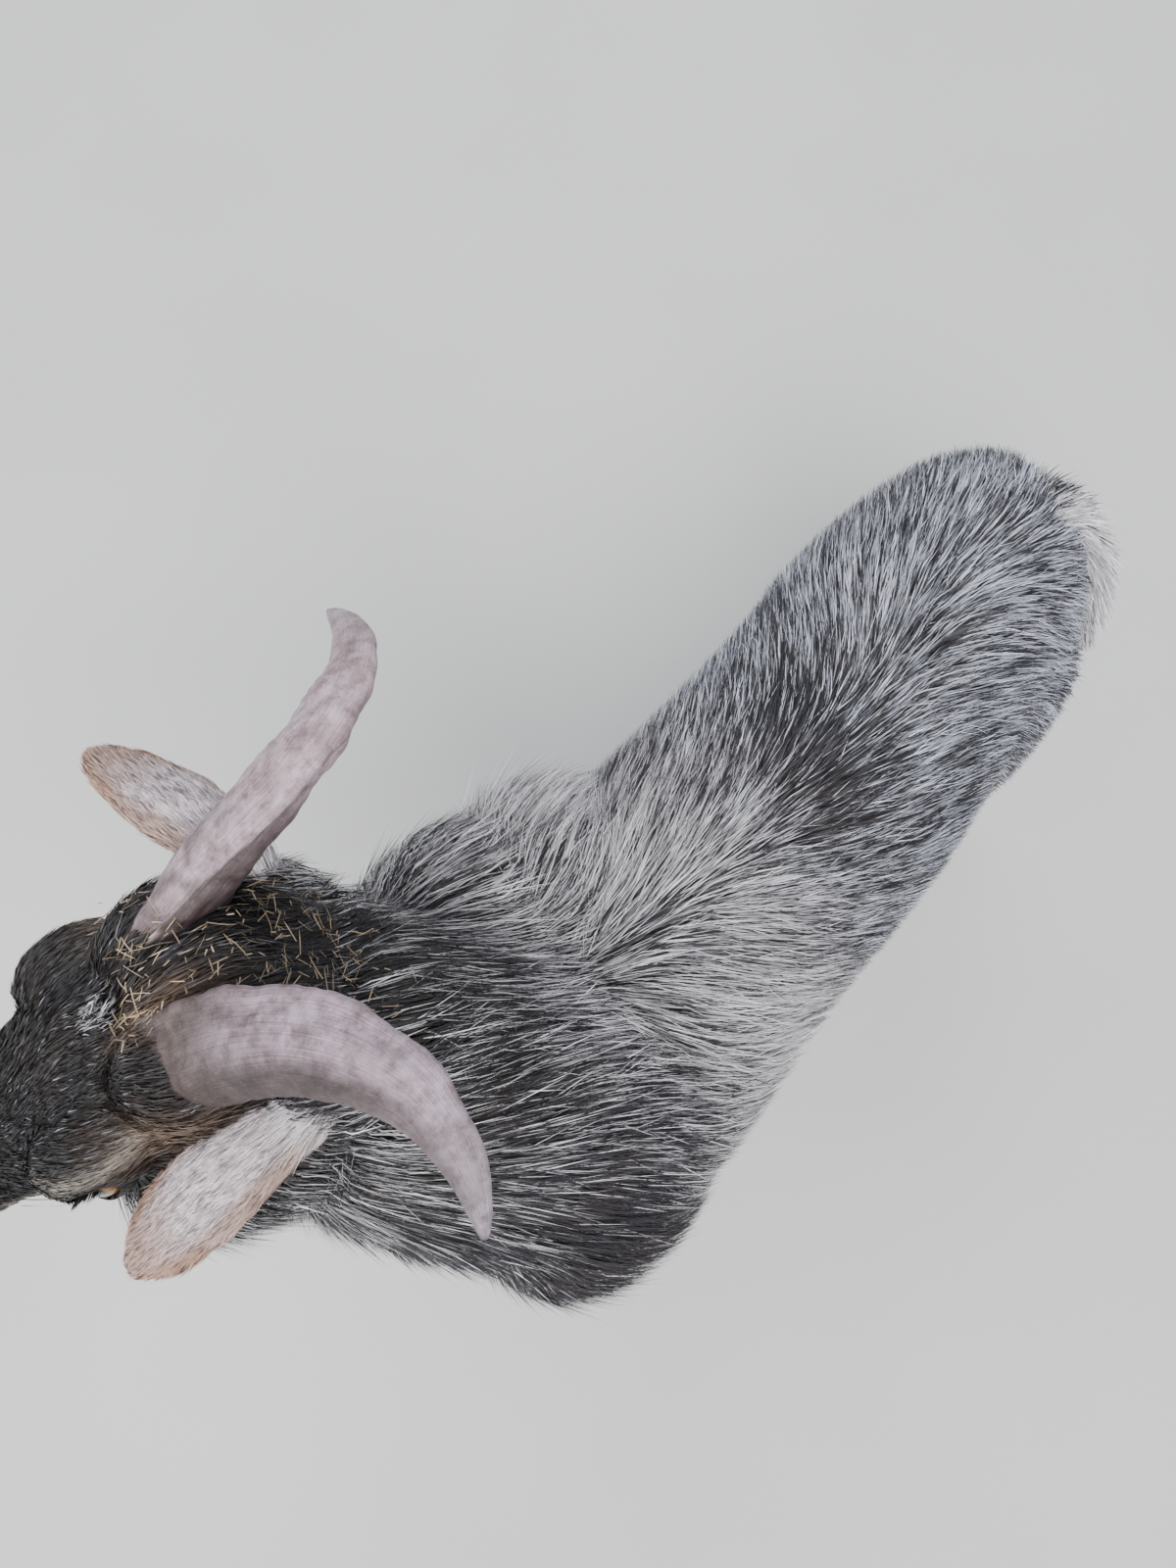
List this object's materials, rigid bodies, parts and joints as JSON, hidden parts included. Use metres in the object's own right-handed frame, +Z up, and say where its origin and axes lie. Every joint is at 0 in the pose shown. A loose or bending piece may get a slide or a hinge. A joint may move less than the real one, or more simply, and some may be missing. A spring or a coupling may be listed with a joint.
{
  "type": "dwarf goat",
  "caption": "Life-size still model of a horned dwarf goat, standing with its head turned to its right, with a long grizzled coat.",
  "frame": {"origin": "middle of the bounding box at the level of the hoof soles", "axes": "+X towards the front of the animal, +Y to its left, +Z up"},
  "size_m": [0.7912, 0.3668, 0.7377],
  "materials": {
    "coat": "grizzled dark grey and silver hair",
    "ear": "short pale hair",
    "horn": "matt grown horn",
    "hoof": "matt dark horn",
    "eye": "moist and glossy"
  },
  "bodies": {
    "root": {"head": "coat", "neck": "coat", "torso": "coat", "tail": "coat", "foreleg_upper_left": "coat", "foreleg_lower_left": "coat", "foreleg_upper_right": "coat", "foreleg_lower_right": "coat", "hindleg_upper_left": "coat", "hindleg_lower_left": "coat", "hindleg_upper_right": "coat", "hindleg_lower_right": "coat", "ear_left": "ear", "ear_right": "ear", "horn_left": "horn", "horn_right": "horn", "eye_left": "eye", "eye_right": "eye", "foreclaw_left_outer": "hoof", "foreclaw_left_inner": "hoof", "foreclaw_right_outer": "hoof", "foreclaw_right_inner": "hoof", "hindclaw_left_outer": "hoof", "hindclaw_left_inner": "hoof", "hindclaw_right_outer": "hoof", "hindclaw_right_inner": "hoof"}
  },
  "joints": []
}
